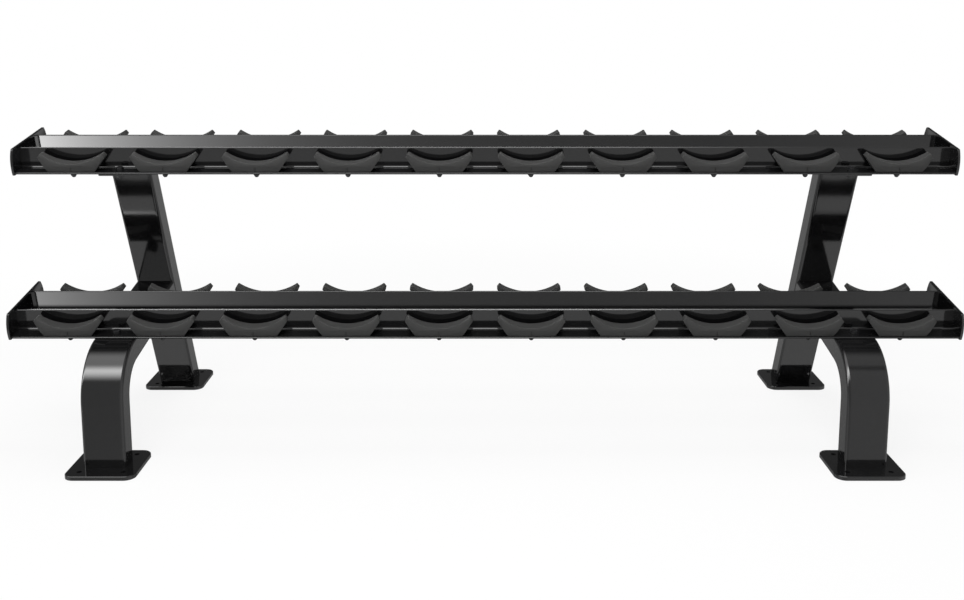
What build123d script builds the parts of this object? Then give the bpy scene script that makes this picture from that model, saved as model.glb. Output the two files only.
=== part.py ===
"""Two-tier rack that holds dumbbells in moulded saddles.

Millimetres, +Z up, the front towards -Y. The origin is on the floor, under the middle of the rack.
A tier is drawn in its own frame, whose x runs along the rack, y back along the sloping shelf and
z square to it, from the lower front edge of the front rail.
"""

import os
from math import cos, radians, sin, tan

from build123d import *

# Bays along the rack
bay_count = 10
bay_pitch = 230.0
end_margin = 30.0
bays_outside_legs = 1

# Tiers
tier_tilt = 10.0
handle_gap = 110.0
upper_tier_height = 698.0
upper_tier_lead = 18.0
lower_tier_lead = 4.0

# Angle rails, bent from plate
rail_shelf = 52.0
rail_flange = 57.0
rail_thickness = 5.0
rail_bend_radius = 5.0
rail_edge_radius = 2.4
rear_flange_lean = 5.0

# End plates
end_plate_thickness = 6.0
end_plate_drop = 2.5
end_plate_cover = 7.5
end_plate_toe = 1.0
end_plate_bulge = 5.0
end_plate_bulge_height = 26.0
end_plate_top_setback = 7.5
end_plate_top_radius = 5.0
end_plate_toe_radius = 2.5

# Saddles
saddle_setback = 4.0
saddle_back_gap = 6.0
saddle_gap = 62.0
saddle_flare = 26.0
saddle_shoulder_height = 36.0
saddle_tip_inset = 6.5
saddle_tip_height = 45.5
saddle_seat_height = 20.5
saddle_lip_height = 14.0
saddle_bevel = 20.0
saddle_tip_radius = 3.0
rear_saddle_rise = 6.0

# Cap nuts on the saddles' studs
cap_nut_width = 13.0
cap_nut_hexagon_height = 7.5
cap_nut_crown_height = 5.5
cap_nut_crown_taper = 32.0

# Tubes of the legs
tube_width = 102.0
tube_depth = 60.0
tube_wall = 4.0
tube_corner = 8.0
leg_bend_radius = 137.0
leg_bend_height = 164.5
upright_lean = 25.8
upright_foot_shift = 4.0

# Base plates
base_width = 170.0
base_depth = 160.0
base_thickness = 10.0
base_corner = 25.0
base_edge_chamfer = 1.5
base_spacing = 622.0
anchor_diameter = 12.0
anchor_side_inset = 32.5
anchor_end_inset = 27.5

# Plates between the uprights and the upper tier
mount_plate_thickness = 6.0
mount_plate_inset = 8.0
mount_plate_corner = 6.0

# Bolts between rails and legs
bolt_diameter = 10.0
bolt_clearance = 1.0
thread_clearance = 0.2
bolt_head_width = 17.0
bolt_head_height = 6.5
bolt_nut_height = 8.0
bolt_tail = 4.0
blind_bolt_reach = 6.0

# Sizes that follow from the ones above
rack_length = bay_count * bay_pitch + 2 * end_margin
rail_length = rack_length - 2 * end_plate_thickness
tier_depth = 2 * rail_shelf + handle_gap
end_plate_rise = rail_flange + end_plate_cover
bay_x = [(index - (bay_count - 1) / 2) * bay_pitch for index in range(bay_count)]
leg_x = (bay_count / 2 - bays_outside_legs) * bay_pitch
base_y = base_spacing / 2
saddle_width = bay_pitch - saddle_gap
saddle_foot_width = saddle_width - 2 * saddle_flare
saddle_tip_width = saddle_width - 2 * saddle_tip_inset
saddle_back = rail_shelf - rail_thickness - rail_bend_radius - saddle_back_gap
saddle_depth = saddle_back - saddle_setback
saddle_line = saddle_setback + saddle_depth / 2
rear_saddle_front = tier_depth - saddle_depth
rear_saddle_line = tier_depth - saddle_depth / 2
bolt_line = rail_shelf / 2
tilt_cos = cos(radians(tier_tilt))
tilt_sin = sin(radians(tier_tilt))
leg_bend_y = -base_y - tube_depth / 2 + leg_bend_radius
leg_run_y = leg_bend_y - leg_bend_radius * tilt_sin
leg_run_z = leg_bend_height + leg_bend_radius * tilt_cos
leg_axis_radius = leg_bend_radius - tube_depth / 2
leg_run_length = base_spacing + tube_depth
upper_middle_z = upper_tier_height + tier_depth / 2 * tilt_sin
upright_rise = upper_middle_z - base_thickness
upright_top_y = base_y + upright_foot_shift - upright_rise * tan(radians(upright_lean))
upper_tier_front = upright_top_y - upper_tier_lead - tier_depth / 2 * tilt_cos
trim = 2 * rack_length

lower_tier = Pos(0, leg_run_y - lower_tier_lead * tilt_cos, leg_run_z - lower_tier_lead * tilt_sin)
lower_tier = lower_tier * Rot(tier_tilt, 0, 0)
upper_tier = Pos(0, upper_tier_front, upper_tier_height) * Rot(tier_tilt, 0, 0)
turned_round = Pos(0, tier_depth, 0) * Rot(0, 0, 180)


def rounded_corner(face, point, radius):
    """Round the corner of a flat outline that lies nearest a point."""
    corner = face.vertices().sort_by_distance(point)[0]
    return fillet([corner], radius)


def upright_place(side):
    """Frame of an upright: its z runs up the tube from the middle of the foot."""
    foot = Pos(side * leg_x, base_y + upright_foot_shift, base_thickness)
    return foot * Rot(upright_lean, 0, 0)


def tube_section():
    """Rounded rectangular tube, wide across the rack."""
    outside = RectangleRounded(tube_width, tube_depth, tube_corner)
    inside = Rectangle(tube_width - 2 * tube_wall, tube_depth - 2 * tube_wall)
    return outside - inside


def rail(lean):
    """Rail with a shelf to the front and a flange up at its back, which leans back by an angle."""
    slope = tan(radians(lean))
    across = rail_thickness / cos(radians(lean))
    outer_top = (rail_shelf + rail_flange * slope, rail_flange)
    inner_top = (outer_top[0] - across, rail_flange)
    inner_root = (rail_shelf + rail_thickness * slope - across, rail_thickness)
    outline = Polyline(
        (0, 0),
        (rail_shelf, 0),
        outer_top,
        inner_top,
        inner_root,
        (0, rail_thickness),
        close=True,
    )
    face = make_face(outline)
    face = rounded_corner(face, (rail_shelf, 0), rail_bend_radius + rail_thickness)
    face = rounded_corner(face, inner_root, rail_bend_radius)
    for point in ((0, 0), (0, rail_thickness), outer_top, inner_top):
        face = rounded_corner(face, point, rail_edge_radius)
    body = extrude(Plane.YZ * face, rail_length / 2, both=True)
    bolt_hole = Cylinder((bolt_diameter + bolt_clearance) / 2, 4 * rail_thickness)
    body -= [Pos(x, bolt_line, 0) * bolt_hole for x in (-leg_x, leg_x)]
    return body


def end_plate(side):
    """Plate over both rails' ends, with bowed front and back edges."""
    middle = tier_depth / 2
    toe = middle + end_plate_toe
    bulge = middle + end_plate_bulge
    top = middle - end_plate_top_setback
    edges = Line((middle - toe, -end_plate_drop), (middle + toe, -end_plate_drop))
    edges += ThreePointArc(
        (middle + toe, -end_plate_drop),
        (middle + bulge, end_plate_bulge_height),
        (middle + top, end_plate_rise),
    )
    edges += Line((middle + top, end_plate_rise), (middle - top, end_plate_rise))
    edges += ThreePointArc(
        (middle - top, end_plate_rise),
        (middle - bulge, end_plate_bulge_height),
        (middle - toe, -end_plate_drop),
    )
    face = make_face(edges)
    for way in (-1, 1):
        face = rounded_corner(face, (middle + way * top, end_plate_rise), end_plate_top_radius)
        face = rounded_corner(face, (middle + way * toe, -end_plate_drop), end_plate_toe_radius)
    plate = extrude(Plane.YZ * face, end_plate_thickness / 2, both=True)
    return Pos(side * (rail_length + end_plate_thickness) / 2, 0, 0) * plate


def saddle(deeper):
    """Moulded saddle for one dumbbell head, with its front at y 0 and its foot made deeper."""
    half_foot = saddle_foot_width / 2 - saddle_flare * deeper / saddle_shoulder_height
    edges = Polyline(
        (-saddle_tip_width / 2, saddle_tip_height),
        (-saddle_width / 2, saddle_shoulder_height),
        (-half_foot, -deeper),
        (half_foot, -deeper),
        (saddle_width / 2, saddle_shoulder_height),
        (saddle_tip_width / 2, saddle_tip_height),
    )
    edges += ThreePointArc(
        (saddle_tip_width / 2, saddle_tip_height),
        (0, saddle_seat_height),
        (-saddle_tip_width / 2, saddle_tip_height),
    )
    face = make_face(edges)
    for way in (-1, 1):
        tip = (way * saddle_tip_width / 2, saddle_tip_height)
        face = rounded_corner(face, tip, saddle_tip_radius)
    body = extrude(Plane.XZ * face, -saddle_depth)
    front_cut = Pos(0, 0, saddle_lip_height) * Rot(-saddle_bevel, 0, 0)
    body -= front_cut * Pos(0, -saddle_depth, 0) * Box(
        2 * saddle_width, 2 * saddle_depth, 4 * saddle_tip_height
    )
    return body


def cap_nut():
    """Hexagon cap nut under the shelf, closed over the end of a saddle's stud."""
    hexagon = RegularPolygon(cap_nut_width / 2, 6, major_radius=False)
    nut = extrude(hexagon, cap_nut_hexagon_height)
    crown = extrude(hexagon, cap_nut_crown_height, taper=cap_nut_crown_taper)
    return Rot(180, 0, 0) * (nut + Pos(0, 0, cap_nut_hexagon_height) * crown)


def rail_bolt(reach):
    """Hexagon bolt standing on the shelf, with its shank reaching below the shelf's lower face."""
    hexagon = RegularPolygon(bolt_head_width / 2, 6, major_radius=False)
    head = Pos(0, 0, rail_thickness) * extrude(hexagon, bolt_head_height)
    length = rail_thickness + reach
    shank = Pos(0, 0, length / 2 - reach) * Cylinder(bolt_diameter / 2, length)
    return head + shank


def rail_nut():
    """Hexagon nut under a mount plate."""
    hexagon = RegularPolygon(bolt_head_width / 2, 6, major_radius=False)
    hole = Circle((bolt_diameter + thread_clearance) / 2)
    return Pos(0, 0, -mount_plate_thickness) * extrude(hexagon - hole, -bolt_nut_height)


def bolt_places(tier):
    """Bolt places of a tier: both rails at both legs."""
    places = []
    for side in (-1, 1):
        for line in (bolt_line, tier_depth - bolt_line):
            places.append(tier * Pos(side * leg_x, line, 0))
    return places


def front_leg(side):
    """Tube that stands on the front base plate, bends back and runs up under the lower tier."""
    route = Line((-base_y, base_thickness), (-base_y, leg_bend_height))
    route += CenterArc((leg_bend_y, leg_bend_height), leg_axis_radius, 180, tier_tilt - 90)
    turn_end = route @ 1
    route += Line(
        (turn_end.X, turn_end.Y),
        (turn_end.X + leg_run_length * tilt_cos, turn_end.Y + leg_run_length * tilt_sin),
    )
    route = Plane.YZ.offset(side * leg_x) * route
    foot = Plane(origin=(side * leg_x, -base_y, base_thickness))
    tube = sweep(foot * tube_section(), route)
    tube -= upright_place(side) * Pos(0, trim / 2 - tube_depth / 2, 0) * Box(trim, trim, trim)
    bolt_hole = Cylinder((bolt_diameter + thread_clearance) / 2, tube_depth)
    for place in bolt_places(lower_tier):
        tube -= place * bolt_hole
    return tube


def upright(side):
    """Leaning tube from the rear base plate to the plate under the upper tier."""
    tube = extrude(tube_section(), 2 * upper_tier_height, both=True)
    tube = upright_place(side) * tube
    tube -= Pos(0, 0, base_thickness - trim / 2) * Box(trim, trim, trim)
    tube -= upper_tier * Pos(0, 0, trim / 2 - mount_plate_thickness) * Box(trim, trim, trim)
    return tube


def base_plate(side, way):
    """Floor plate of a leg with rounded corners and four anchor holes."""
    plate = extrude(RectangleRounded(base_width, base_depth, base_corner), base_thickness)
    plate = chamfer(plate.edges().group_by(Axis.Z)[-1], base_edge_chamfer)
    anchor_hole = Cylinder(anchor_diameter / 2, 4 * base_thickness)
    anchor_width = base_width - 2 * anchor_side_inset
    anchor_length = base_depth - 2 * anchor_end_inset
    plate -= [place * anchor_hole for place in GridLocations(anchor_width, anchor_length, 2, 2)]
    return Pos(side * leg_x, way * base_y, 0) * plate


def mount_plate(side):
    """Plate on top of an upright that both upper rails are bolted to."""
    length = tier_depth - 2 * mount_plate_inset
    outline = RectangleRounded(tube_width, length, mount_plate_corner)
    plate = extrude(Pos(side * leg_x, tier_depth / 2) * outline, -mount_plate_thickness)
    plate = upper_tier * plate
    bolt_hole = Cylinder((bolt_diameter + bolt_clearance) / 2, 4 * mount_plate_thickness)
    for place in bolt_places(upper_tier):
        plate -= place * bolt_hole
    return plate


def tier_pieces(name, tier):
    """Rails, end plates and saddles of one tier, by name."""
    pieces = {
        f"{name}_front_rail": tier * rail(0),
        f"{name}_rear_rail": tier * turned_round * rail(rear_flange_lean),
        f"{name}_left_end_plate": tier * end_plate(-1),
        f"{name}_right_end_plate": tier * end_plate(1),
    }
    front_saddle = Pos(0, saddle_setback, rail_thickness) * saddle(0)
    rear_place = Pos(0, rear_saddle_front, rail_thickness + rear_saddle_rise)
    rear_saddle = rear_place * saddle(rear_saddle_rise)
    for number, x in enumerate(bay_x, start=1):
        pieces[f"{name}_front_saddle_{number:02d}"] = tier * Pos(x, 0, 0) * front_saddle
        pieces[f"{name}_rear_saddle_{number:02d}"] = tier * Pos(x, 0, 0) * rear_saddle
    return pieces


def leg_pieces(name, side):
    """Tubes and plates of the legs on one side, by name."""
    return {
        f"{name}_front_leg": front_leg(side),
        f"{name}_rear_upright": upright(side),
        f"{name}_front_base_plate": base_plate(side, -1),
        f"{name}_rear_base_plate": base_plate(side, 1),
        f"{name}_mount_plate": mount_plate(side),
    }


def fastener_pieces():
    """Fasteners, in groups of separate solids."""
    cap_nuts = []
    for tier in (lower_tier, upper_tier):
        for x in bay_x:
            for line in (saddle_line, rear_saddle_line):
                cap_nuts.append(tier * Pos(x, line, 0) * cap_nut())
    bolts = [place * rail_bolt(tube_wall + blind_bolt_reach) for place in bolt_places(lower_tier)]
    through_reach = mount_plate_thickness + bolt_nut_height + bolt_tail
    for place in bolt_places(upper_tier):
        bolts.append(place * rail_bolt(through_reach))
        bolts.append(place * rail_nut())
    return {
        "saddle_cap_nuts": Compound(children=cap_nuts),
        "rail_bolts": Compound(children=bolts),
    }


os.makedirs("parts", exist_ok=True)
pieces = tier_pieces("lower", lower_tier)
pieces.update(tier_pieces("upper", upper_tier))
pieces.update(leg_pieces("left", -1))
pieces.update(leg_pieces("right", 1))
pieces.update(fastener_pieces())
for name, piece in pieces.items():
    export_step(piece, f"parts/{name}.step")
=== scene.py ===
"""Looks of a two-tier dumbbell rack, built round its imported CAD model."""

from math import cos, pi, radians, sin, sqrt, tan

import bmesh
import bpy
from bpy.props import FloatProperty, FloatVectorProperty, IntProperty, PointerProperty
from mathutils import Matrix, Vector


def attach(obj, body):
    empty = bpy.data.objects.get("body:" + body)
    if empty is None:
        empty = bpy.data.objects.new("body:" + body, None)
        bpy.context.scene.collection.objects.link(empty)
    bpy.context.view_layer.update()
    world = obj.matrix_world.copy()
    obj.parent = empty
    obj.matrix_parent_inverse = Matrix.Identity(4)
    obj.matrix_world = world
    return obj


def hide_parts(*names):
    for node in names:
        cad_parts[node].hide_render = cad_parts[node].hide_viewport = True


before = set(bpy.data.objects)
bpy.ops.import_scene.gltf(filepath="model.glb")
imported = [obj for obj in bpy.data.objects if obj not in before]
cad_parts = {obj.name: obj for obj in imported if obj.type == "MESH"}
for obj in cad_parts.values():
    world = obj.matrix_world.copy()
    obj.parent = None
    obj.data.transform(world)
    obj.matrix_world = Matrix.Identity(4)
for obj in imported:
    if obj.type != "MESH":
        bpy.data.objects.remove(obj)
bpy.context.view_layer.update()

bl_info = {
    "name": "Dumbbell rack",
    "version": (1, 0, 0),
    "blender": (4, 5, 0),
    "location": "View3D > Sidebar > Rack",
    "description": "Dresses a two-tier dumbbell rack with saddles, fasteners, paint and a studio",
    "category": "Object",
}

BODY = "root"
TIERS = ("lower", "upper")
ROWS = ("front", "rear")
SIDES = ("left", "right")
PAINT_SLOT = "gloss_black_paint"
SADDLE_SLOT = "saddle_moulding"
FASTENER_SLOT = "black_plated_steel"
PLAIN_WHITE = (1, 1, 1, 1)

# Lengths in metres that help in modelling.
OVERREACH = 0.02  # of a cutter past the piece that it cuts
SPARE_TOP = 0.006  # of the saddle's blank above its tips
NEAR = 0.0015  # within which an edge counts as one of the tips'
MERGE = 0.00002  # within which points of a copied mesh become one
CLEAR = 0.001  # that keeps two surfaces from lying in one plane

# Wear, painted sheen and painted shade of a saddle, in metres.
RUB_AND_SHEEN_WIDTH = 0.0035  # width of the polished rim round the seat, which with the seat is painted lighter: wear and a painted sheen
SHADED_FOOT = 0.004  # height of the foot that is painted darker as shade where it meets the rail

# Shares of sizes of fasteners and saddles.
CHAMFER = radians(30)
RIM_SHARE = 1.02  # of a chamfer's rim to the width across the flats
DOME_SHARE = 0.44  # of a dome's radius to a cap nut's width
DOME_FOOT = 0.6  # of a dome's foot to the hexagon's height
DOME_RIM = 0.0008  # upright part of a dome, in metres
SHANK_SHARE = 0.985  # of a shank to its thread
END_SHARE = 0.12  # of the chamfer at a shank's end to its thread
CONE_LIFT = 0.2  # of a chamfer's rim past the hexagon's end to the chamfer's height
CONE_REACH = 4  # of a chamfer's cone to the width across the flats
DOME_STEPS = 6
DOME_END = 0.06  # of a dome's flat end to its foot
MARK_ROUNDING = 0.3  # of the gate slot's rounding to its width

# Sides of round tools and pieces, and the angle in degrees past which an edge stays sharp.
SEAT_SIDES = 200
CONE_SIDES = 48
DOME_SIDES = 28
SHANK_SIDES = 24
SHARP = 32
FASTENER_SHARP = 28

# Turns of the fasteners in radians, so that no two stand alike.
NUT_TURN = 0.7  # from one cap nut to the next
BOLT_TURN = 0.5  # to the left or right
BOLT_TURN_DEEP = 9  # in a metre of depth

# The studio in reflections. A height is an angle in degrees round the rack: 0 is level in front, 90 overhead and
# 180 level behind. Four heights are the start and end of a light's rise, and then of its fall. An X is how far
# a direction points to the right.
LOW_FRONT = (-100, -72, 50, 64)
FRONT_BOX = (30, 54, 53, 68)
CEILING = (56, 68, 82, 104)
FAR_FRONT = (-34, -20)
LOW_BACK = (-175, -125)
LEVEL_BACK = (148, 160)
BOX_FALL_X = (0.05, 0.3)
PANEL_RISE_X = (0.18, 0.26)
PANEL_FALL_X = (0.34, 0.4)
SIDE_RISE_X = (0.42, 0.75)
FAR_FRONT_LOSS = 0.33
FAR_FRONT_SLOPE = 0.36
CEILING_RIGHT = 0.3
PANEL_MIDDLE = 0.3

# The strips at the rails, in metres.
STRIP_BELOW = 0.008  # how far a rear strip reaches under the shelf's underside
STRIP_FOOT = (0.003, 0.014)  # its dark foot, up to where it is bright
STRIP_PAST_BAYS = 0.022  # from the last bay to a strip's end
STRIP_RIGHT = 0.5  # where it turns a little brighter to the right
STRIP_RIGHT_GAIN = 0.2
EDGE_RAISE = 0.0005  # middle of a front strip over the flange
EDGE_FALL_X = (0.1, 0.95)
EDGE_END = (0.01, 0.05)  # its fade at the left end

# Floor and lamps, in metres.
FLOOR_SIZE = 60
FLOOR_DROP = 0.0006
GLOW_RISE = (1.2, 2.6)  # from the middle, where the floor turns plain white
LAMP_AIM = (0, 0, 0.4)
KEY_PLACE, KEY_SIZE = (-0.8, -3.3, 3.8), (3.0, 2.0)
TOP_PLACE, TOP_SIZE = (0.2, 0.4, 4.2), (3.0, 2.4)


def length(name, description, default):
    """A size in metres that the user may change."""
    return FloatProperty(name=name, description=description, default=default, unit="LENGTH", precision=4)


def angle(name, description, default):
    """An angle, written in degrees, that the user may change."""
    return FloatProperty(name=name, description=description, default=radians(default), subtype="ANGLE")


def factor(name, description, default):
    """A share from 0 to 1 that the user may change."""
    return FloatProperty(name=name, description=description, default=default, min=0, max=1, subtype="FACTOR")


def level(name, description, default):
    """A strength of light that the user may change."""
    return FloatProperty(name=name, description=description, default=default, min=0)


def colour(name, description, default):
    """A linear colour that the user may change."""
    return FloatVectorProperty(name=name, description=description, default=default, min=0, max=1, subtype="COLOR")


class TierSizes(bpy.types.PropertyGroup):
    """Where the two tiers stand and how their bays are spaced."""

    bays: IntProperty(name="Bays", description="Dumbbells side by side on a tier", default=10)
    pitch: length("Pitch", "From one bay to the next", 0.230)
    tilt: angle("Tilt", "How far a tier leans up to the back", 10)
    depth: length("Depth", "From the front rail's edge to the rear rail's", 0.214)
    rail_thickness: length("Rail thickness", "Plate that a rail is bent from", 0.005)
    rail_shelf: length("Rail shelf", "Depth of a rail's shelf", 0.052)
    rail_flange: length("Rail flange", "Height of a rail's flange", 0.057)
    flange_lean: angle("Flange lean", "How far a rear rail's flange leans to the front", 5)
    lower_front: length("Lower front", "Front edge of the lower tier along Y", -0.231729)
    lower_height: length("Lower height", "Front edge of the lower tier above the floor", 0.298724)
    upper_front: length("Upper front", "Front edge of the upper tier along Y", -0.149949)
    upper_height: length("Upper height", "Front edge of the upper tier above the floor", 0.698)


class SaddleSizes(bpy.types.PropertyGroup):
    """The moulded saddle that carries one head of a dumbbell."""

    foot_width: length("Foot width", "Width on the rail", 0.116)
    width: length("Width", "Width at the shoulders", 0.168)
    depth: length("Depth", "From front to back", 0.032)
    setback: length("Setback", "From the rail's edge to the saddle", 0.004)
    shoulder_height: length("Shoulder height", "Widest level above the rail", 0.036)
    tip_inset: length("Tip inset", "From the shoulder in to the tip", 0.0065)
    tip_height: length("Tip height", "Highest level above the rail", 0.0455)
    seat_height: length("Seat height", "Lowest level of the cradle above the rail", 0.0205)
    rear_rise: length("Rear rise", "Extra height of the foot under a rear saddle", 0.006)
    lip_height: length("Lip height", "Upright part of the front", 0.014)
    lean: angle("Lean", "How far the front leans back above the lip", 20)
    tip_radius: length("Tip radius", "Rounding of the tips", 0.0026)
    edge_radius: length("Edge radius", "Rounding of the other edges", 0.0011)
    mark_width: length("Mark width", "Gate slot in the front lip", 0.0022)
    mark_height: length("Mark height", "Height of the gate slot", 0.0105)
    mark_depth: length("Mark depth", "Depth of the gate slot", 0.0016)


class FastenerSizes(bpy.types.PropertyGroup):
    """Cap nuts under the saddles, and bolts and nuts that hold the rails."""

    cap_width: length("Cap nut width", "Across the flats", 0.013)
    cap_hexagon: length("Cap nut hexagon", "Height of the hexagon", 0.0075)
    cap_crown: length("Cap nut crown", "Height of the dome", 0.0055)
    head_width: length("Head width", "Across the flats of bolts and nuts", 0.017)
    head_height: length("Head height", "Height of a bolt's head", 0.0065)
    nut_height: length("Nut height", "Height of a nut", 0.008)
    thread: length("Thread", "Diameter of a bolt", 0.010)
    tail: length("Tail", "Thread that stands out of a nut", 0.004)
    bolt_line: length("Bolt line", "From the rail's edge to a bolt", 0.026)
    leg_x: length("Leg", "From the middle to a leg", 0.920)
    plate: length("Mount plate", "Thickness of the mount plate", 0.006)
    blind_reach: length("Blind reach", "Bolt below the shelf where it ends in a tube", 0.010)


class FinishColours(bpy.types.PropertyGroup):
    """Colours of the rack's finishes."""

    paint: colour("Paint", "Gloss black paint on the steelwork", (0.006, 0.006, 0.0063))
    paint_roughness: factor("Paint roughness", "Blur of reflections in the paint", 0.085)
    moulding: colour("Moulding", "Matt dark grey of the saddles", (0.035, 0.035, 0.0345))
    moulding_roughness: factor("Moulding roughness", "Blur of reflections in the saddles", 0.58)
    plating: colour("Plating", "Black plate of the fasteners", (0.022, 0.022, 0.023))
    plate_softening: length("Plate softening", "Rounding of the edges of cut plates", 0.0008)


class StudioSetup(bpy.types.PropertyGroup):
    """Camera, floor and light."""

    camera: FloatVectorProperty(
        name="Camera", description="Place of the camera", default=(0, -2.8071, 1.0975), subtype="XYZ", unit="LENGTH"
    )
    pitch: angle("Pitch", "How far the camera looks down", 8.547)
    lens: FloatProperty(name="Lens", description="Focal length in millimetres", default=40.187, subtype="UNSIGNED")
    shift_x: FloatProperty(name="Shift X", description="Sideways shift of the frame", default=-0.00332)
    shift_y: FloatProperty(name="Shift Y", description="Upward shift of the frame", default=-0.13)
    floor: colour("Floor", "Colour of the floor", (0.92, 0.92, 0.92))
    floor_glow: factor("Floor glow", "Share of the floor that the camera sees as plain white", 0.86)
    ambient: level("Ambient", "Even light from all round", 0.31)
    key: level("Key", "Power of the high lamp in front, in watts", 132)
    top: level("Top", "Power of the lamp overhead, in watts", 80)
    front_low: level("Front low", "Strength of the studio low in front, in reflections", 1)
    front_box: level("Front box", "Strength of the high light in front, in reflections", 11)
    overhead: level("Overhead", "Strength of the ceiling, in reflections", 2.6)
    back_low: level("Back low", "Strength of the studio low behind, in reflections", 0.45)
    back_level: level("Back level", "Strength of the studio level behind, in reflections", 0.12)
    side: level("Side", "Strength of the studio at the sides, in reflections", 0.6)
    dim: level("Dim", "Strength of the dark part of the studio, in reflections", 0.08)
    strip: level("Strip", "Strength of the strips before the rear rails, in reflections", 0.6)
    strip_fade: level("Strip fade", "Halvings of the strips' bright end in a metre", 5.6)
    lower_end: level("Lower end", "Extra strength of the lower strip at its left end", 4.7)
    upper_end: level("Upper end", "Extra strength of the upper strip at its left end", 14.6)
    strip_gap: length("Strip gap", "From a strip to its rail", 0.009)
    strip_height: length("Strip height", "Height of a strip", 0.064)
    lower_edge: level("Lower edge", "Strength of the strip behind the lower front rail's flange", 6.5)
    upper_edge: level("Upper edge", "Strength of the strip behind the upper front rail's flange", 2.6)
    edge_dim: level("Edge dim", "Strength of these strips at the right end", 0.3)
    edge_gap: length("Edge gap", "From a flange's middle back to its strip", 0.006)
    edge_turn: angle("Edge turn", "How far these strips face forward and down", 116)
    edge_width: length("Edge width", "Width of the strip behind a flange", 0.007)


class Value:
    """A number that changes over a surface; Python's operators add Math nodes to it."""

    def __init__(self, shader, socket):
        self.shader = shader
        self.socket = socket

    def math(self, operation, first, second=0.0, third=0.0):
        settings = {"operation": operation}
        return self.shader.node("ShaderNodeMath", settings, {0: first, 1: second, 2: third})[0]

    def __add__(self, other):
        return self.math("ADD", self, other)

    __radd__ = __add__

    def __sub__(self, other):
        return self.math("SUBTRACT", self, other)

    def __rsub__(self, other):
        return self.math("SUBTRACT", other, self)

    def __mul__(self, other):
        return self.math("MULTIPLY", self, other)

    __rmul__ = __mul__

    def __pow__(self, other):
        return self.math("POWER", self, other)

    def __rpow__(self, other):
        return self.math("POWER", other, self)

    def __abs__(self):
        return self.math("ABSOLUTE", self)

    def largest(self, other):
        return self.math("MAXIMUM", self, other)

    def turned(self, other):
        """Angle of the point (other, self) round the origin."""
        return self.math("ARCTAN2", self, other)

    def rise(self, low, high):
        """0 below low, 1 above high, with a smooth step between."""
        settings = {"interpolation_type": "SMOOTHSTEP"}
        return self.shader.node("ShaderNodeMapRange", settings, {"Value": self, "From Min": low, "From Max": high})[0]


class Node:
    """A shader node whose outputs are taken by name or number."""

    def __init__(self, shader, node):
        self.shader = shader
        self.node = node

    def __getitem__(self, name):
        return Value(self.shader, self.node.outputs[name])


class Shader:
    """The node tree of a material or of the world."""

    def __init__(self, owner):
        owner.use_nodes = True
        self.tree = owner.node_tree
        self.tree.nodes.clear()

    def node(self, kind, settings=None, sockets=None):
        """Adds a node: its settings first, then the values or links of its sockets."""
        made = self.tree.nodes.new(kind)
        for name, value in (settings or {}).items():
            setattr(made, name, value)
        for name, value in (sockets or {}).items():
            if isinstance(value, Value):
                self.tree.links.new(value.socket, made.inputs[name])
            else:
                made.inputs[name].default_value = value
        return Node(self, made)

    def noise(self, place, scale, detail, roughness):
        """Noise from 0 to 1 at a scale per metre."""
        sockets = {"Vector": place, "Scale": scale, "Detail": detail, "Roughness": roughness}
        return self.node("ShaderNodeTexNoise", {"noise_dimensions": "3D"}, sockets)["Fac"]

    def blend(self, share, first, second):
        """Mixes two colours."""
        settings = {"data_type": "RGBA"}
        return self.node("ShaderNodeMix", settings, {"Factor": share, 6: first, 7: second})[2]

    def bump(self, height, strength, distance):
        """Small relief of a finish."""
        sockets = {"Strength": strength, "Distance": distance, "Height": height}
        return self.node("ShaderNodeBump", None, sockets)["Normal"]

    def finish(self, **sockets):
        """The surface itself, with sockets named as words joined by underscores."""
        named = {name.replace("_", " "): value for name, value in sockets.items()}
        surface = self.node("ShaderNodeBsdfPrincipled", None, named)
        self.node("ShaderNodeOutputMaterial", None, {"Surface": surface["BSDF"]})


def toned(tone, share):
    """A colour made lighter or darker, with alpha."""
    return (*(min(1, part * share) for part in tone), 1)


def material(name):
    """A new material and its shader."""
    made = bpy.data.materials.new(name)
    return made, Shader(made)


def gloss_black(colours):
    """Gloss black paint: fine orange peel, faint clouding in tone and gloss, a little dust on flat tops."""
    made, shader = material("gloss black paint")
    place = shader.node("ShaderNodeTexCoord")["Object"]
    cloud = shader.noise(place, scale=9, detail=4, roughness=0.55)
    peel = shader.noise(place, scale=420, detail=2, roughness=0.4)
    speck = shader.noise(place, scale=1500, detail=1, roughness=0.5).rise(0.66, 0.8)
    up = shader.node("ShaderNodeSeparateXYZ", None, {0: shader.node("ShaderNodeNewGeometry")["Normal"]})["Z"]
    dust = up.rise(0.75, 1) * cloud.rise(0.45, 0.75) * 0.35
    tone = shader.blend(cloud, toned(colours.paint, 0.8), toned(colours.paint, 1.25))
    tone = shader.blend(dust, tone, toned(colours.paint, 2.4))
    tone = shader.blend(speck * 0.4, tone, toned(colours.paint, 2.0))
    rough = colours.paint_roughness * (0.75 + 0.5 * cloud) + 0.06 * dust + 0.03 * speck
    relief = shader.bump(peel, strength=0.05, distance=0.0004)
    shader.finish(Base_Color=tone, Roughness=rough, IOR=1.52, Normal=relief)
    return made


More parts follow.
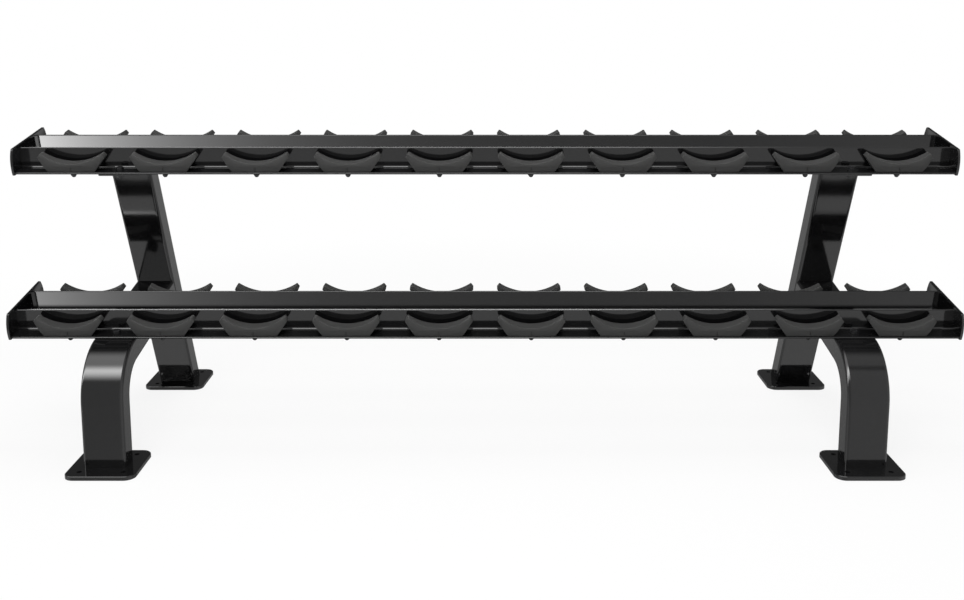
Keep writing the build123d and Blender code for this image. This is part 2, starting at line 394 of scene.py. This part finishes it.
def moulding(colours):
    """Matt dark grey moulding: spark-eroded grain, faint flow marks, polish where heads rub with the seat painted
    lighter as a sheen, and painted shade at the foot and in the gate slot.
    """
    made, shader = material("saddle moulding")
    place = shader.node("ShaderNodeTexCoord")["Object"]
    rub_and_sheen = shader.node("ShaderNodeAttribute", {"attribute_name": "rub_and_sheen"})["Fac"]
    shade = shader.node("ShaderNodeAttribute", {"attribute_name": "shade"})["Fac"]
    grain = shader.noise(place, scale=1400, detail=2, roughness=0.6)
    flow = shader.noise(place, scale=26, detail=3, roughness=0.6)
    tone = shader.blend(flow, toned(colours.moulding, 0.9), toned(colours.moulding, 1.1))
    tone = shader.blend(grain.rise(0.4, 0.7) * 0.5, tone, toned(colours.moulding, 1.25))
    # Wear and painted sheen: the seat and its rim are painted lighter, and polish lowers their roughness.
    tone = shader.blend(rub_and_sheen * (0.5 + 0.5 * flow), tone, toned(colours.moulding, 1.5))
    # Painted shade: the foot and the gate slot are painted darker.
    tone = shader.blend(shade, tone, toned(colours.moulding, 0.55))
    rough = colours.moulding_roughness + 0.12 * (flow - 0.5) - 0.14 * rub_and_sheen
    relief = shader.bump(grain, strength=0.12, distance=0.0003)
    shader.finish(Base_Color=tone, Roughness=rough, Specular_IOR_Level=0.15, Normal=relief)
    return made


def black_plate(colours):
    """Black plate of the fasteners: fine grain, mild clouding and a duller tone in places."""
    made, shader = material("black plated steel")
    place = shader.node("ShaderNodeTexCoord")["Object"]
    cloud = shader.noise(place, scale=160, detail=3, roughness=0.6)
    grain = shader.noise(place, scale=2600, detail=2, roughness=0.5)
    tone = shader.blend(cloud, toned(colours.plating, 0.75), toned(colours.plating, 1.3))
    rough = 0.22 + 0.14 * cloud + 0.06 * grain
    relief = shader.bump(grain, strength=0.08, distance=0.0002)
    shader.finish(Base_Color=tone, Roughness=rough, Metallic=0.35, Normal=relief)
    return made


def deselect():
    """Leaves nothing selected, in object mode."""
    if bpy.context.mode != "OBJECT":
        bpy.ops.object.mode_set(mode="OBJECT")
    bpy.ops.object.select_all(action="DESELECT")


def pick(piece):
    """Selects one piece alone and makes it active."""
    deselect()
    piece.select_set(True)
    bpy.context.view_layer.objects.active = piece


class Editing:
    """Edit mode on one piece, whose faces and edges are selected by place or normal."""

    def __init__(self, piece):
        self.piece = piece

    def __enter__(self):
        pick(self.piece)
        bpy.ops.object.mode_set(mode="EDIT")
        bpy.ops.mesh.select_all(action="SELECT")
        return self

    def __exit__(self, *problem):
        bpy.ops.object.mode_set(mode="OBJECT")

    def faces(self, wanted):
        """Selects the faces whose middle and normal pass the test."""
        bpy.ops.mesh.select_mode(type="FACE")
        bpy.ops.mesh.select_all(action="DESELECT")
        mesh = bmesh.from_edit_mesh(self.piece.data)
        for face in mesh.faces:
            face.select_set(bool(wanted(face.calc_center_median(), face.normal)))
        bmesh.update_edit_mesh(self.piece.data)

    def edges(self, wanted):
        """Selects the edges whose middle and direction pass the test."""
        bpy.ops.mesh.select_mode(type="EDGE")
        bpy.ops.mesh.select_all(action="DESELECT")
        mesh = bmesh.from_edit_mesh(self.piece.data)
        for edge in mesh.edges:
            start, end = (point.co for point in edge.verts)
            edge.select_set(bool(wanted((start + end) / 2, (end - start).normalized())))
        bmesh.update_edit_mesh(self.piece.data)

    def stretch(self, share, centre):
        bpy.ops.transform.resize(value=share, center_override=centre)

    def extrude(self, way):
        bpy.ops.mesh.extrude_region_move(TRANSFORM_OT_translate={"value": way})

    def bevel(self, width, segments):
        bpy.ops.mesh.bevel(offset=width, segments=segments, affect="EDGES", profile=0.5)


def settle(piece):
    """Puts a piece's place, turn and scale into its mesh."""
    pick(piece)
    bpy.ops.object.transform_apply(location=True, rotation=True, scale=True)


def block(name, low, high):
    """A box from its lowest corner to its highest, as a start."""
    low, high = Vector(low), Vector(high)
    deselect()
    bpy.ops.mesh.primitive_cube_add(size=1, location=(low + high) / 2, scale=high - low)
    piece = bpy.context.active_object
    piece.name = name
    settle(piece)
    return piece


def round_bar(name, sides, radius, start, end):
    """A prism or cylinder between two points on a straight line, as a start."""
    start, end = Vector(start), Vector(end)
    way = end - start
    turn = way.to_track_quat("Z", "Y").to_euler()
    deselect()
    bpy.ops.mesh.primitive_cylinder_add(
        vertices=sides, radius=radius, depth=way.length, location=(start + end) / 2, rotation=turn
    )
    piece = bpy.context.active_object
    piece.name = name
    settle(piece)
    return piece


def finish_with(piece, kind, **settings):
    """Adds a modifier to a piece and applies it."""
    pick(piece)
    modifier = piece.modifiers.new(kind.lower(), kind)
    for name, value in settings.items():
        setattr(modifier, name, value)
    bpy.ops.object.modifier_apply(modifier=modifier.name)


def carve(piece, tool, operation="DIFFERENCE"):
    """Cuts a piece with a tool, or joins the tool to it, and removes the tool."""
    finish_with(piece, "BOOLEAN", operation=operation, solver="EXACT", object=tool)
    bpy.data.objects.remove(tool)


def join(name, pieces):
    """Joins pieces into one object with one mesh."""
    pick(pieces[0])
    for piece in pieces:
        piece.select_set(True)
    bpy.ops.object.join()
    joined = bpy.context.active_object
    joined.name = name
    return joined


def smooth(piece, limit=SHARP):
    """Smooth shading, with sharp edges past an angle."""
    pick(piece)
    bpy.ops.object.shade_smooth_by_angle(angle=radians(limit))


def copied(piece, name, place=None):
    """A copy with its own mesh, put where it belongs."""
    made = piece.copy()
    made.data = piece.data.copy()
    made.name = name
    bpy.context.scene.collection.objects.link(made)
    if place is not None:
        made.data.transform(place)
    return made


def dress(piece, finish):
    """Gives a piece its one finish."""
    piece.data.materials.clear()
    piece.data.materials.append(finish)


def fit(piece, finish, slot, *nodes):
    """A finished piece takes its material, rides on the rack and stands for its nodes."""
    dress(piece, finish)
    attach(piece, BODY)
    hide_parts(*nodes)


def settings():
    """The rack's settings in this scene."""
    return bpy.context.scene.dumbbell_rack


def shared(name, maker):
    """A finish by its name, made when it is first asked for."""
    return bpy.data.materials.get(name) or maker(settings().finishes)


def tier_place(name):
    """The frame of a tier: along the rail, back over the shelf, and square to the shelf."""
    tiers = settings().tiers
    front = getattr(tiers, f"{name}_front")
    height = getattr(tiers, f"{name}_height")
    return Matrix.Translation((0, front, height)) @ Matrix.Rotation(tiers.tilt, 4, "X")


def bay_places():
    """Middle of each bay along the rail."""
    tiers = settings().tiers
    return [(number - (tiers.bays - 1) / 2) * tiers.pitch for number in range(tiers.bays)]


def need(test, message):
    """Stops the script where a piece can't be made."""
    if not test:
        raise RuntimeError(message)


def saddle_blank(sizes, deeper):
    """One saddle at the middle of a bay, its front at y 0 and its foot at z 0, or deeper by some height."""
    top = sizes.tip_height + SPARE_TOP
    slope = sizes.tip_inset / (sizes.tip_height - sizes.shoulder_height)
    top_width = sizes.width - 2 * slope * (top - sizes.shoulder_height)
    flare = (sizes.width - sizes.foot_width) / 2 / sizes.shoulder_height
    half = sizes.foot_width / 2 - flare * deeper
    saddle = block("saddle blank", (-half, 0, -deeper), (half, sizes.depth, sizes.shoulder_height))
    with Editing(saddle) as edit:
        edit.faces(lambda middle, normal: normal.z > 0.9)
        edit.stretch((sizes.width / 2 / half, 1, 1), (0, sizes.depth / 2, sizes.shoulder_height))
        edit.extrude((0, 0, top - sizes.shoulder_height))
        edit.stretch((top_width / sizes.width, 1, 1), (0, sizes.depth / 2, top))
        bpy.ops.mesh.select_all(action="SELECT")
        bpy.ops.mesh.bisect(
            plane_co=(0, 0, sizes.lip_height),
            plane_no=(0, -cos(sizes.lean), sin(sizes.lean)),
            clear_outer=True,
            use_fill=True,
        )
        bpy.ops.mesh.select_all(action="SELECT")
        bpy.ops.mesh.normals_make_consistent(inside=False)
    half_tip = sizes.width / 2 - sizes.tip_inset
    fall = sizes.tip_height - sizes.seat_height
    radius = (half_tip**2 + fall**2) / (2 * fall)
    centre = sizes.seat_height + radius
    start, end = (0, -OVERREACH, centre), (0, sizes.depth + OVERREACH, centre)
    carve(saddle, round_bar("seat cutter", SEAT_SIDES, radius, start, end))
    with Editing(saddle) as edit:
        edit.edges(
            lambda middle, way: abs(abs(middle.x) - half_tip) < NEAR
            and middle.z > sizes.tip_height - NEAR
            and abs(way.y) > 0.5
        )
        edit.bevel(sizes.tip_radius, 4)
    finish_with(
        saddle, "BEVEL", width=sizes.edge_radius, segments=3, limit_method="ANGLE", angle_limit=radians(24)
    )
    mark = block(
        "gate cutter",
        (-sizes.mark_width / 2, -3 * CLEAR, sizes.lip_height - sizes.mark_height - CLEAR),
        (sizes.mark_width / 2, sizes.mark_depth, sizes.lip_height - CLEAR),
    )
    with Editing(mark) as edit:
        edit.edges(lambda middle, way: abs(way.y) > 0.9)
        edit.bevel(sizes.mark_width * MARK_ROUNDING, 2)
    carve(saddle, mark)
    mark_rub_sheen_and_shade(saddle, sizes, deeper, radius, centre)
    smooth(saddle)
    need(is_closed(saddle), "the saddle isn't closed")
    return saddle


def is_closed(piece):
    """Whether each edge of a piece lies between two faces."""
    mesh = bmesh.new()
    mesh.from_mesh(piece.data)
    closed = all(edge.is_manifold for edge in mesh.edges)
    mesh.free()
    return closed


def mark_rub_sheen_and_shade(saddle, sizes, deeper, radius, centre):
    """Keeps where heads rub the seat and its rim, which are painted lighter as a sheen, and where shade is painted:
    darker at the foot and in the gate slot.
    """
    rub_and_sheen = saddle.data.attributes.new("rub_and_sheen", "FLOAT", "POINT")
    shade = saddle.data.attributes.new("shade", "FLOAT", "POINT")
    for point in saddle.data.vertices:
        x, y, z = point.co
        away = radius - sqrt(x**2 + (z - centre) ** 2)
        near_seat = max(0, 1 + away / RUB_AND_SHEEN_WIDTH)
        rub_and_sheen.data[point.index].value = min(1, near_seat)
        inside = 0.4 * CLEAR < y < sizes.mark_depth + CLEAR and z < sizes.lip_height
        in_mark = abs(x) < sizes.mark_width and inside
        # Painted shade: the whole gate slot, and the foot darker towards the bottom.
        shade.data[point.index].value = 1.0 if in_mark else max(0, 1 - (z + deeper) / SHADED_FOOT) * 0.5


class RACK_OT_saddles(bpy.types.Operator):
    """Moulds a front and a rear saddle and sets them in every bay of both tiers."""

    bl_idname = "rack.saddles"
    bl_label = "Saddles"

    def execute(self, context):
        sizes = settings().saddles
        tiers = settings().tiers
        finish = shared("saddle moulding", moulding)
        for row, line, rise in (("front", sizes.setback, 0), ("rear", tiers.depth - sizes.depth, sizes.rear_rise)):
            blank = saddle_blank(sizes, rise)
            for tier in TIERS:
                for number, x in enumerate(bay_places(), start=1):
                    place = tier_place(tier) @ Matrix.Translation((x, line, tiers.rail_thickness + rise))
                    saddle = copied(blank, f"moulded_saddle_{tier}_{row}_{number:02d}", place)
                    fit(saddle, finish, SADDLE_SLOT, f"{tier}_{row}_saddle_{number:02d}")
            bpy.data.objects.remove(blank)
        return {"FINISHED"}


def softened(node, name):
    """A merged copy of a plate's node with its edges rounded."""
    need(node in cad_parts, f"the model has no {node}")
    plate = copied(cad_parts[node], name)
    plate.parent = None
    for key in list(plate.keys()):
        del plate[key]
    with Editing(plate):
        bpy.ops.mesh.remove_doubles(threshold=MERGE)
        bpy.ops.mesh.customdata_custom_splitnormals_clear()
        bpy.ops.mesh.dissolve_limited(angle_limit=radians(1))
    finish_with(
        plate,
        "BEVEL",
        width=settings().finishes.plate_softening,
        segments=3,
        limit_method="ANGLE",
        angle_limit=radians(40),
    )
    smooth(plate)
    return plate


class RACK_OT_plates(bpy.types.Operator):
    """Softens the cut edges of the end plates and mount plates and paints them."""

    bl_idname = "rack.plates"
    bl_label = "End and mount plates"

    def execute(self, context):
        paint = shared("gloss black paint", gloss_black)
        nodes = [f"{tier}_{side}_end_plate" for tier in TIERS for side in SIDES]
        nodes += [f"{side}_mount_plate" for side in SIDES]
        for node in nodes:
            fit(softened(node, f"painted_{node}"), paint, PAINT_SLOT, node)
        return {"FINISHED"}


class RACK_OT_steelwork(bpy.types.Operator):
    """Paints the rails, legs, uprights and base plates black."""

    bl_idname = "rack.steelwork"
    bl_label = "Painted steelwork"

    def execute(self, context):
        paint = shared("gloss black paint", gloss_black)
        nodes = [f"{tier}_{row}_rail" for tier in TIERS for row in ROWS]
        for side in SIDES:
            nodes += [f"{side}_front_leg", f"{side}_rear_upright"]
            nodes += [f"{side}_{row}_base_plate" for row in ROWS]
        for node in nodes:
            need(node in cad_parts, f"the model has no {node}")
            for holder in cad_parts[node].material_slots:
                holder.material = paint
        return {"FINISHED"}


def hexagon(name, width, start, end, chamfer):
    """A hexagon between two points, its corners turned off at the end."""
    corner = width / sqrt(3)
    nut = round_bar(name, 6, corner, start, end)
    way = (Vector(end) - Vector(start)).normalized()
    reach = CONE_REACH * width
    cone_foot = Vector(end) + way * (corner - width / 2) * tan(chamfer) * CONE_LIFT
    rim = width / 2 * RIM_SHARE
    deselect()
    bpy.ops.mesh.primitive_cone_add(
        vertices=CONE_SIDES,
        radius1=rim + reach / tan(chamfer),
        radius2=rim,
        depth=reach,
        location=cone_foot - way * reach / 2,
        rotation=way.to_track_quat("Z", "Y").to_euler(),
    )
    cone = bpy.context.active_object
    settle(cone)
    carve(nut, cone, "INTERSECT")
    return nut


def cap_nut(sizes):
    """One domed cap nut that hangs under the shelf, at the origin."""
    nut = hexagon("cap nut", sizes.cap_width, (0, 0, 0), (0, 0, -sizes.cap_hexagon), CHAMFER)
    start, end = (0, 0, -sizes.cap_hexagon * DOME_FOOT), (0, 0, -sizes.cap_hexagon - DOME_RIM)
    dome = round_bar("cap nut dome", DOME_SIDES, sizes.cap_width * DOME_SHARE, start, end)
    rise = sizes.cap_crown - DOME_RIM
    with Editing(dome) as edit:
        edit.faces(lambda middle, normal: normal.z < -0.9)
        for step in range(1, DOME_STEPS + 1):
            turn, last = (pi / 2 * count / DOME_STEPS for count in (step, step - 1))
            share = max(DOME_END, cos(turn)) / max(DOME_END, cos(last))
            edit.extrude((0, 0, -rise * (sin(turn) - sin(last))))
            edit.stretch((share, share, 1), (0, 0, 0))
    carve(nut, dome, "UNION")
    smooth(nut, FASTENER_SHARP)
    return nut


class RACK_OT_cap_nuts(bpy.types.Operator):
    """Makes one cap nut and hangs it under every saddle."""

    bl_idname = "rack.cap_nuts"
    bl_label = "Cap nuts"

    def execute(self, context):
        tiers, saddles = settings().tiers, settings().saddles
        first = cap_nut(settings().fasteners)
        nuts = []
        for tier in TIERS:
            for number, x in enumerate(bay_places()):
                lines = (saddles.setback + saddles.depth / 2, tiers.depth - saddles.depth / 2)
                for row, line in enumerate(lines):
                    turn = Matrix.Rotation(NUT_TURN * (number * 2 + row), 4, "Z")
                    place = tier_place(tier) @ Matrix.Translation((x, line, 0)) @ turn
                    nuts.append(copied(first, "nut", place))
        bpy.data.objects.remove(first)
        fit(join("plated_cap_nuts", nuts), shared("black plated steel", black_plate), FASTENER_SLOT, "saddle_cap_nuts")
        return {"FINISHED"}


def rail_bolt(sizes, shelf, reach, through):
    """One hexagon bolt on the shelf at the origin, with a nut under the mount plate where it goes through."""
    top = shelf + sizes.head_height
    head = hexagon("bolt head", sizes.head_width, (0, 0, shelf), (0, 0, top), CHAMFER)
    radius = sizes.thread / 2 * SHANK_SHARE
    shank = round_bar("bolt shank", SHANK_SIDES, radius, (0, 0, shelf + CLEAR), (0, 0, -reach))
    with Editing(shank) as edit:
        edit.edges(lambda middle, way: middle.z < -reach + CLEAR / 2 and abs(way.z) < 0.1)
        edit.bevel(sizes.thread * END_SHARE, 1)
    carve(head, shank, "UNION")
    if through:
        under = -sizes.plate
        nut = hexagon("bolt nut", sizes.head_width, (0, 0, under), (0, 0, under - sizes.nut_height), CHAMFER)
        carve(head, nut, "UNION")
    smooth(head, FASTENER_SHARP)
    return head


class RACK_OT_rail_bolts(bpy.types.Operator):
    """Makes the bolts that hold the rails and sets them at both legs of both tiers."""

    bl_idname = "rack.rail_bolts"
    bl_label = "Rail bolts"

    def execute(self, context):
        sizes = settings().fasteners
        tiers = settings().tiers
        bolts = []
        for tier in TIERS:
            through = tier == "upper"
            reach = sizes.plate + sizes.nut_height + sizes.tail if through else sizes.blind_reach
            first = rail_bolt(sizes, tiers.rail_thickness, reach, through)
            for side in (-1, 1):
                for line in (sizes.bolt_line, tiers.depth - sizes.bolt_line):
                    turn = Matrix.Rotation(BOLT_TURN * side + BOLT_TURN_DEEP * line, 4, "Z")
                    place = tier_place(tier) @ Matrix.Translation((side * sizes.leg_x, line, 0)) @ turn
                    bolts.append(copied(first, "bolt", place))
            bpy.data.objects.remove(first)
        fit(join("plated_rail_bolts", bolts), shared("black plated steel", black_plate), FASTENER_SLOT, "rail_bolts")
        return {"FINISHED"}


def lay_floor(studio):
    """A plain pale floor that keeps the rack's shadow."""
    deselect()
    bpy.ops.mesh.primitive_plane_add(size=FLOOR_SIZE, location=(0, 0, -FLOOR_DROP))
    floor = bpy.context.active_object
    floor.name = "studio floor"
    settle(floor)
    made, shader = material("studio floor")
    seen = shader.node("ShaderNodeLightPath")["Is Camera Ray"]
    place = shader.node("ShaderNodeTexCoord")["Object"]
    away = shader.node("ShaderNodeVectorMath", {"operation": "LENGTH"}, {0: place})["Value"]
    share = seen * (studio.floor_glow + (1 - studio.floor_glow) * away.rise(*GLOW_RISE))
    lit = shader.node("ShaderNodeBsdfDiffuse", None, {"Color": (*studio.floor, 1)})["BSDF"]
    glow = shader.node("ShaderNodeEmission", None, {"Color": PLAIN_WHITE, "Strength": 1.0})["Emission"]
    mixed = shader.node("ShaderNodeMixShader", None, {0: share, 1: lit, 2: glow})["Shader"]
    shader.node("ShaderNodeOutputMaterial", None, {"Surface": mixed})
    dress(floor, made)
    floor.visible_glossy = False


def hang_world(studio):
    """White for the camera, even light for the object, and a studio of boxes for reflections."""
    world = bpy.data.worlds.new("studio")
    bpy.context.scene.world = world
    shader = Shader(world)
    path = shader.node("ShaderNodeLightPath")
    seen = path["Is Camera Ray"]
    mirrored = path["Is Glossy Ray"].largest(path["Is Transmission Ray"])
    way = shader.node("ShaderNodeSeparateXYZ", None, {0: shader.node("ShaderNodeTexCoord")["Generated"]})
    height = way["Z"].turned(-1 * way["Y"])

    def above(low, high):
        return height.rise(radians(low), radians(high))

    def between(rise_start, rise_end, fall_start, fall_end):
        return above(rise_start, rise_end) * (1 - above(fall_start, fall_end))

    left = 1 - way["X"].rise(*BOX_FALL_X)
    far_front = 1 - above(*FAR_FRONT) * (FAR_FRONT_LOSS - FAR_FRONT_SLOPE * way["X"])
    strength = between(*LOW_FRONT) * far_front * studio.front_low
    strength = strength + between(*FRONT_BOX) * left * studio.front_box
    strength = strength + between(*CEILING) * (CEILING_RIGHT + (1 - CEILING_RIGHT) * left) * studio.overhead
    aside = abs(way["X"])
    panels = PANEL_MIDDLE + (1 - PANEL_MIDDLE) * aside.rise(*PANEL_RISE_X)
    panels = panels * (1 - aside.rise(*PANEL_FALL_X))
    strength = strength + (1 - above(*LOW_BACK)) * panels * studio.back_low
    strength = strength + above(*LEVEL_BACK) * studio.back_level
    beside = aside.rise(*SIDE_RISE_X) * studio.side
    strength = strength.largest(beside).largest(studio.dim)

    def background(tone, power):
        return shader.node("ShaderNodeBackground", None, {"Color": tone, "Strength": power})["Background"]

    plain = background(PLAIN_WHITE, studio.ambient)
    lit = shader.node("ShaderNodeMixShader", None, {0: mirrored, 1: plain, 2: background(strength, 1.0)})["Shader"]
    mixed = shader.node("ShaderNodeMixShader", None, {0: seen, 1: lit, 2: background(PLAIN_WHITE, 1.0)})["Shader"]
    shader.node("ShaderNodeOutputWorld", None, {"Surface": mixed})


def hang_strip(name, place, size, brightness):
    """A long light strip with a black back, that only gloss sees. Its brightness follows from the place on it."""
    deselect()
    bpy.ops.mesh.primitive_plane_add(size=1)
    strip = bpy.context.active_object
    strip.name = name
    strip.scale = (*size, 1)
    settle(strip)
    strip.data.transform(place)
    made, shader = material(name)
    where = shader.node("ShaderNodeSeparateXYZ", None, {0: shader.node("ShaderNodeTexCoord")["Object"]})
    strength = brightness(where) * (1 - shader.node("ShaderNodeNewGeometry")["Backfacing"])
    glow = shader.node("ShaderNodeEmission", None, {"Color": strength, "Strength": 1.0})["Emission"]
    shader.node("ShaderNodeOutputMaterial", None, {"Surface": glow})
    dress(strip, made)
    strip.visible_camera = False
    strip.visible_diffuse = False
    strip.visible_shadow = False


def half_strip():
    """Half the length of a strip."""
    tiers = settings().tiers
    return tiers.pitch * tiers.bays / 2 + STRIP_PAST_BAYS


def light_rear_rail(tier, studio, end):
    """A strip close before a rear rail's flange, brighter to the left and dark at its foot."""
    tiers = settings().tiers
    lean = tiers.flange_lean
    middle = studio.strip_height / 2 - STRIP_BELOW
    line = tiers.depth - tiers.rail_shelf - middle * tan(lean) - studio.strip_gap / cos(lean)
    place = tier_place(tier) @ Matrix.Translation((0, line, middle)) @ Matrix.Rotation(lean - pi / 2, 4, "X")
    half = half_strip()
    foot, top = ((tier_place(tier) @ Vector((0, line, up))).z for up in STRIP_FOOT)

    def brightness(where):
        fade = 2 ** (-studio.strip_fade * (where["X"] + half))
        right = STRIP_RIGHT_GAIN * where["X"].rise(STRIP_RIGHT, half)
        return (studio.strip + end * fade + right) * where["Z"].rise(foot, top)

    hang_strip(f"{tier} strip", place, (2 * half, studio.strip_height), brightness)


def light_front_edge(tier, studio, strength):
    """A strip close behind a front rail's flange, dimmer to the right, that gives its upper edge a light line."""
    tiers = settings().tiers
    line = tiers.rail_shelf - tiers.rail_thickness / 2 + studio.edge_gap
    place = tier_place(tier) @ Matrix.Translation((0, line, tiers.rail_flange + EDGE_RAISE))
    place = place @ Matrix.Rotation(studio.edge_turn, 4, "X")
    half = half_strip()

    def brightness(where):
        bright = studio.edge_dim + (strength - studio.edge_dim) * (1 - where["X"].rise(*EDGE_FALL_X))
        return bright * where["X"].rise(*(part - half for part in EDGE_END))

    hang_strip(f"{tier} edge strip", place, (2 * half, studio.edge_width), brightness)


def hang_lamp(name, place, aim, size, watts):
    """A large soft lamp."""
    lamp = bpy.data.lights.new(name, "AREA")
    lamp.shape = "RECTANGLE"
    lamp.size, lamp.size_y = size
    lamp.energy = watts
    holder = bpy.data.objects.new(name, lamp)
    holder.location = place
    holder.rotation_euler = (Vector(aim) - Vector(place)).to_track_quat("-Z", "Y").to_euler()
    holder.visible_glossy = False
    holder.visible_camera = False
    bpy.context.scene.collection.objects.link(holder)


def set_camera(studio):
    """The camera at the photograph's viewing angle."""
    data = bpy.data.cameras.new("camera")
    data.sensor_width = 36
    data.lens = studio.lens
    data.shift_x = studio.shift_x
    data.shift_y = studio.shift_y
    data.clip_end = 100
    camera = bpy.data.objects.new("camera", data)
    camera.location = studio.camera
    camera.rotation_euler = (pi / 2 - studio.pitch, 0, 0)
    bpy.context.scene.collection.objects.link(camera)
    bpy.context.scene.camera = camera


class RACK_OT_stage(bpy.types.Operator):
    """Lays the floor, hangs the light and sets the camera."""

    bl_idname = "rack.stage"
    bl_label = "Stage"

    def execute(self, context):
        studio = settings().studio
        context.scene.view_settings.view_transform = "Standard"
        lay_floor(studio)
        hang_world(studio)
        light_rear_rail("lower", studio, studio.lower_end)
        light_rear_rail("upper", studio, studio.upper_end)
        light_front_edge("lower", studio, studio.lower_edge)
        light_front_edge("upper", studio, studio.upper_edge)
        hang_lamp("key lamp", KEY_PLACE, LAMP_AIM, KEY_SIZE, studio.key)
        hang_lamp("top lamp", TOP_PLACE, LAMP_AIM, TOP_SIZE, studio.top)
        set_camera(studio)
        return {"FINISHED"}


class RackSettings(bpy.types.PropertyGroup):
    """All settings of the rack."""

    tiers: PointerProperty(name="Tiers", description="Places of the tiers", type=TierSizes)
    saddles: PointerProperty(name="Saddles", description="Sizes of a saddle", type=SaddleSizes)
    fasteners: PointerProperty(name="Fasteners", description="Sizes of the fasteners", type=FastenerSizes)
    finishes: PointerProperty(name="Finishes", description="Colours of the finishes", type=FinishColours)
    studio: PointerProperty(name="Studio", description="Camera, floor and light", type=StudioSetup)


STEPS = (
    RACK_OT_stage,
    RACK_OT_steelwork,
    RACK_OT_plates,
    RACK_OT_saddles,
    RACK_OT_cap_nuts,
    RACK_OT_rail_bolts,
)


class RACK_PT_sidebar(bpy.types.Panel):
    """Lists the steps that dress the rack, with their settings."""

    bl_idname = "RACK_PT_sidebar"
    bl_label = "Dumbbell rack"
    bl_space_type = "VIEW_3D"
    bl_region_type = "UI"
    bl_category = "Rack"

    def draw(self, context):
        for step in STEPS:
            self.layout.operator(step.bl_idname)
        groups = context.scene.dumbbell_rack
        for group in (groups.tiers, groups.saddles, groups.fasteners, groups.finishes, groups.studio):
            column = self.layout.column()
            for name in group.__annotations__:
                column.prop(group, name)


CLASSES = (
    TierSizes,
    SaddleSizes,
    FastenerSizes,
    FinishColours,
    StudioSetup,
    RackSettings,
    *STEPS,
    RACK_PT_sidebar,
)


def register():
    """Registers the classes and puts the rack's settings on the scene."""
    for kind in CLASSES:
        bpy.utils.register_class(kind)
    bpy.types.Scene.dumbbell_rack = PointerProperty(type=RackSettings)


def unregister():
    """Takes the settings and classes away again."""
    del bpy.types.Scene.dumbbell_rack
    for kind in reversed(CLASSES):
        bpy.utils.unregister_class(kind)


def main():
    """Dresses the rack step by step."""
    register()
    bpy.ops.rack.stage()
    bpy.ops.rack.steelwork()
    bpy.ops.rack.plates()
    bpy.ops.rack.saddles()
    bpy.ops.rack.cap_nuts()
    bpy.ops.rack.rail_bolts()
    deselect()


if __name__ == "__main__":
    main()
